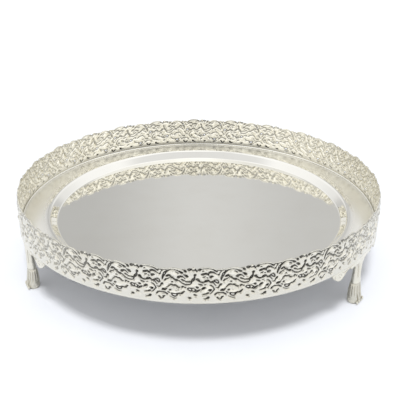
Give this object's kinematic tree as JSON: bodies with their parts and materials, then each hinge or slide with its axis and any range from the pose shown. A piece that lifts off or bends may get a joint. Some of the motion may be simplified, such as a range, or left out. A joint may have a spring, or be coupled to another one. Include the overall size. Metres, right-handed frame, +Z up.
{
  "type": "offering plate",
  "caption": "Round silver-plated offering plate with a pierced scroll gallery around its rim, standing on cast feet.",
  "frame": {"origin": "centre of the plate, on the plane the feet stand on", "axes": "+Z up; -Y towards the middle of the front third of the gallery; one foot on +Y, the others at 120 degrees to it"},
  "size_m": [0.305, 0.305, 0.0695],
  "materials": {
    "polished_silver": "mirror-polished silver plate",
    "gallery_silver": "bright silver plate on stamped relief",
    "cast_silver": "silver plate on a casting, slightly warm",
    "fixing_steel": "nickel-plated steel"
  },
  "bodies": {
    "root": {"tray_pan": "polished_silver", "corner_wire": "polished_silver", "gallery_strip_front": "gallery_silver", "gallery_strip_right": "gallery_silver", "gallery_strip_left": "gallery_silver", "foot_back": "cast_silver", "foot_left": "cast_silver", "foot_right": "cast_silver", "gallery_studs": "fixing_steel", "gallery_washers": "fixing_steel", "gallery_nuts": "fixing_steel", "foot_studs": "fixing_steel", "foot_washers": "fixing_steel", "foot_nuts": "fixing_steel"}
  },
  "joints": []
}
